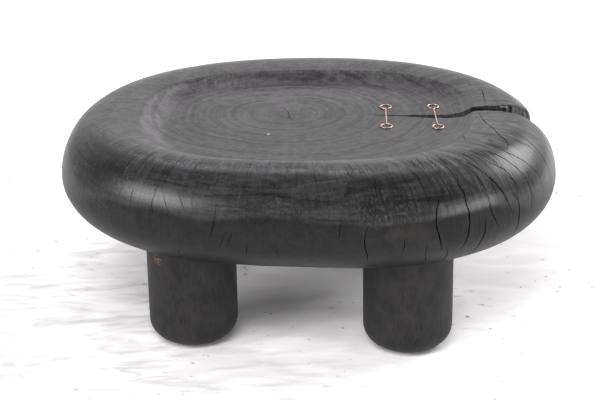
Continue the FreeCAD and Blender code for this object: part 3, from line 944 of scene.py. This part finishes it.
def charred_slab_material():
    """Charred end grain: brushed and crackled above a wavy line round the bulge, smooth and dull under it."""
    material, tree, shader = new_material("charred_slab")
    place = tree.add("ShaderNodeTexCoord", {}, {}, "Object")
    x, y, z = tree.parts(place)
    grain = slab_grain(tree, place)
    patch = grain.patch
    zone = slab_zones(tree, place, patch)
    outer = zone.upper * (1 - zone.dish)
    hairline = (1 - grain.hairs.step(0.03, 0.15)) * outer * (0.20 + 0.80 * zone.cracked)
    hairline = hairline * patch.step(0.30, 0.50)
    crackle = (1 - grain.flakes.step(0.02, 0.14)) * outer * patch.step(0.42, 0.62)

    ring_share = (0.07 + 0.19 * zone.dish) * (0.4 + 1.2 * grain.wavy)
    ray_share = (0.20 + 0.65 * zone.off_front) * (1 - 0.7 * zone.dish)
    tone = (
        0.5
        + ring_share * (grain.rings - 0.5)
        + ray_share * (grain.ray - 0.5)
        + 0.95 * zone.side * (grain.bands - 0.5)
        + (0.70 - 0.35 * zone.side) * (grain.mottle - 0.5)
        + 0.34 * (grain.fibre - 0.5)
        + 0.36 * (patch - 0.5)
    ).step(0.30, 0.70)
    colour = slab_greys(tree, tone, zone)
    brown = near_place(tree, tree.vector(x * 0.35, y, z), *BROWN_MARK) * patch.step(0.48, 0.66)
    colour = tree.mix(brown * 0.25, colour, BROWN)
    colour = tree.mix((hairline * 0.9 + crackle * 0.65).clamp(), colour, char(SOOT))
    burnt = sum(near_place(tree, place, middle, radius) for middle, radius in ASHY_PLACES)
    ashy = (0.25 * zone.side * patch.step(0.45, 0.65) + burnt).clamp()
    ash = tree.noise(place, 420.0, 2.0).step(0.60, 0.72) * ashy
    colour = slab_marks(tree, place, colour, grain, zone, ash, burnt)

    roughness = 0.46 - 0.10 * zone.upper + 0.12 * (patch - 0.5) + 0.10 * (grain.fibre - 0.5) + 0.06 * hairline
    relief = (
        ring_share * grain.rings
        + (0.15 + 0.40 * zone.upper) * grain.fibre
        + 0.22 * grain.ray
        + 0.40 * zone.side * grain.bands
        + 0.50 * grain.mottle
        - 0.15 * hairline
        - 0.30 * crackle
        + 0.20 * ash
    )
    coat = (0.06 + 0.79 * zone.upper) * (1 - 0.45 * zone.top - 0.20 * zone.dish) * (1 - zone.matt)
    finish_material(
        tree, shader, colour, roughness, relief, 0.0009, coat, Specular_IOR_Level=0.2, Coat_Roughness=0.28,
    )
    return material


def charred_leg_material():
    """Charred and brushed side grain, matt, with a few unburnt flecks under the slab."""
    material, tree, shader = new_material("charred_leg")
    place = tree.add("ShaderNodeTexCoord", {}, {}, "Object")
    x, y, z = tree.parts(place)
    fibre = tree.noise(tree.vector(x * 210, y * 210, z * 48), 1.0, 5.0, 0.7)
    patch = tree.noise(tree.vector(x * 30, y * 30, z * 22), 1.0, 4.0, 0.65)
    tone = 0.5 * fibre + 0.5 * patch
    colour = shade(tree, tone.step(0.32, 0.68), 0.011, 0.034)
    fleck = near_place(tree, place, *LEG_FLECK) * tree.noise(place, 170.0, 1.0).step(0.50, 0.62)
    colour = tree.mix(fleck.step(0.12, 0.45) * 0.5, colour, RUSTY_WOOD)
    roughness = 0.52 + 0.20 * fibre
    finish_material(tree, shader, colour, roughness, fibre, 0.0004, Specular_IOR_Level=0.25)
    return material


def plain_material(name, dark, light, rough, scale, depth, **plain):
    """A finish with a fine all-over grain."""
    material, tree, shader = new_material(name)
    place = tree.add("ShaderNodeTexCoord", {}, {}, "Object")
    grain = tree.noise(place, scale, 4.0)
    tone = tree.mix(grain.step(0.3, 0.7), (*dark, 1), (*light, 1))
    finish_material(tree, shader, tone, rough + 0.15 * (grain - 0.5), grain, depth, **plain)
    return material


# Stage: floor, light and camera

def make_floor():
    mesh = bpy.data.meshes.new("floor")
    reach = 14.0
    mesh.from_pydata(
        [(-reach, -reach, 0), (reach, -reach, 0), (reach, reach, 0), (-reach, reach, 0)], [], [(0, 1, 2, 3)]
    )
    floor = bpy.data.objects.new("floor", mesh)
    bpy.context.scene.collection.objects.link(floor)
    material, tree, shader = new_material("pale_floor")
    place = tree.add("ShaderNodeTexCoord", {}, {}, "Object")
    x, y, _ = tree.parts(place)
    cloud = tree.noise(place, 3.0, 4.0)
    crease = tree.noise(tree.vector(x * 5 + y * 2, y * 14, 0.0), 1.0, 4.0, 0.55, 1.4)
    stroke = tree.noise(tree.vector(x * 7 + y * 3, y * 26 - x * 3, 0.0), 1.0, 5.0, 0.65, 0.8)
    smudge = 0.8 * stroke.step(0.46, 0.66) * (1 - x.step(-0.45, 0.55)) * (1 - y.step(0.4, 1.0))
    speck = tree.noise(place, 60.0, 2.0).step(0.66, 0.71) * cloud.step(0.47, 0.54) * (1 - y.step(0.4, 1.0))
    scratch = tree.noise(tree.vector(x * 26 + y * 9, y * 110, 3.0), 1.0, 2.0, 0.5, 0.6).step(0.63, 0.70)
    scratch = scratch * tree.noise(place, 5.0, 1.0).step(0.50, 0.60)
    # The floor's tone follows its crease relief, paler on the ridges and darker in the hollows: painted shade.
    tone = tree.mix(crease.step(0.35, 0.70), (0.82, 0.80, 0.805, 1), (0.94, 0.925, 0.93, 1))
    tone = tree.mix(smudge.clamp(), tone, (0.60, 0.575, 0.580, 1))
    tone = tree.mix(scratch * 0.45, tone, (0.40, 0.30, 0.25, 1))
    tone = tree.mix(speck * 0.65, tone, (0.16, 0.14, 0.13, 1))
    ray = tree.add("ShaderNodeLightPath", {}, {}, "Is Camera Ray")
    seen = (ray + ray.out("Is Glossy Ray") + ray.out("Is Transmission Ray")).clamp()
    tone = tree.vector_maths("SCALE", tone, 1 + (FLOOR_LIFT - 1) * seen)
    finish_material(tree, shader, tone, 0.8 + 0.1 * cloud, crease, 0.0010)
    mesh.materials.append(material)


def make_softbox(name, place, width, height, radiance):
    light = bpy.data.lights.new(name, "AREA")
    light.shape = "RECTANGLE"
    light.size = width
    light.size_y = height
    light.energy = radiance * math.pi * width * height
    lamp = bpy.data.objects.new(name, light)
    lamp.location = place
    lamp.visible_glossy = name not in UNMIRRORED
    lamp.rotation_euler = (Vector(LAMP_AIM) - Vector(place)).to_track_quat("-Z", "Y").to_euler()
    bpy.context.scene.collection.objects.link(lamp)


def make_world():
    """A dim room, paler along the horizon, with a soft glow high behind the table."""
    world = bpy.data.worlds.new("studio")
    bpy.context.scene.world = world
    world.use_nodes = True
    tree = Tree(world.node_tree)
    direction = tree.add("ShaderNodeTexCoord", {}, {}, "Generated")
    _, _, up = tree.parts(direction)
    to_glow = tree.add("ShaderNodeVectorMath", {"operation": "DOT_PRODUCT"}, {
        "Vector": direction, "Vector_001": GLOW_WAY,
    }, "Value")
    horizon = 1 - abs(up).step(*HORIZON_BAND)
    level = ROOM_LEVEL + HORIZON_LEVEL * horizon + GLOW_LEVEL * to_glow.step(*GLOW_SPREAD)
    background = world.node_tree.nodes["Background"]
    background.inputs["Color"].default_value = (1, 1, 1, 1)
    world.node_tree.links.new(level.socket, background.inputs["Strength"])


def make_camera():
    data = bpy.data.cameras.new("camera")
    data.lens = CAMERA_LENS
    data.sensor_width = CAMERA_SENSOR
    data.sensor_fit = "HORIZONTAL"
    camera = bpy.data.objects.new("camera", data)
    camera.location = CAMERA_PLACE
    facing = (Vector(CAMERA_AIM) - Vector(CAMERA_PLACE)).to_track_quat("-Z", "Y").to_matrix()
    turn = Matrix.Rotation(math.radians(-CAMERA_ROLL), 3, "Z")
    camera.rotation_euler = (facing @ turn).to_euler()
    bpy.context.scene.collection.objects.link(camera)
    bpy.context.scene.camera = camera


def dress_nodes():
    """Finishes of the CAD nodes that show as they are."""
    for start, finish, dark, light, rough, grain in METALS:
        metal = plain_material(finish, dark, light, rough, grain, METAL_RELIEF, Metallic=1.0)
        for name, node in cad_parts.items():
            if name.startswith(start):
                node.data.materials.clear()
                node.data.materials.append(metal)


make_slab(charred_slab_material())
make_turned("leg", "charred_leg", charred_leg_material(), leg_profile, LEG_LINES, LEG_GROOVES)
felt = plain_material("felt", (0.03, 0.03, 0.03), (0.07, 0.07, 0.07), 0.9, 400.0, 0.0005)
make_turned("felt_glide", "felt", felt, glide_profile, FELT_LINES, FELT_FUZZ)
dress_nodes()
make_floor()
make_world()
for softbox in SOFTBOXES:
    make_softbox(*softbox)
make_camera()
bpy.context.scene.view_settings.view_transform = "Standard"
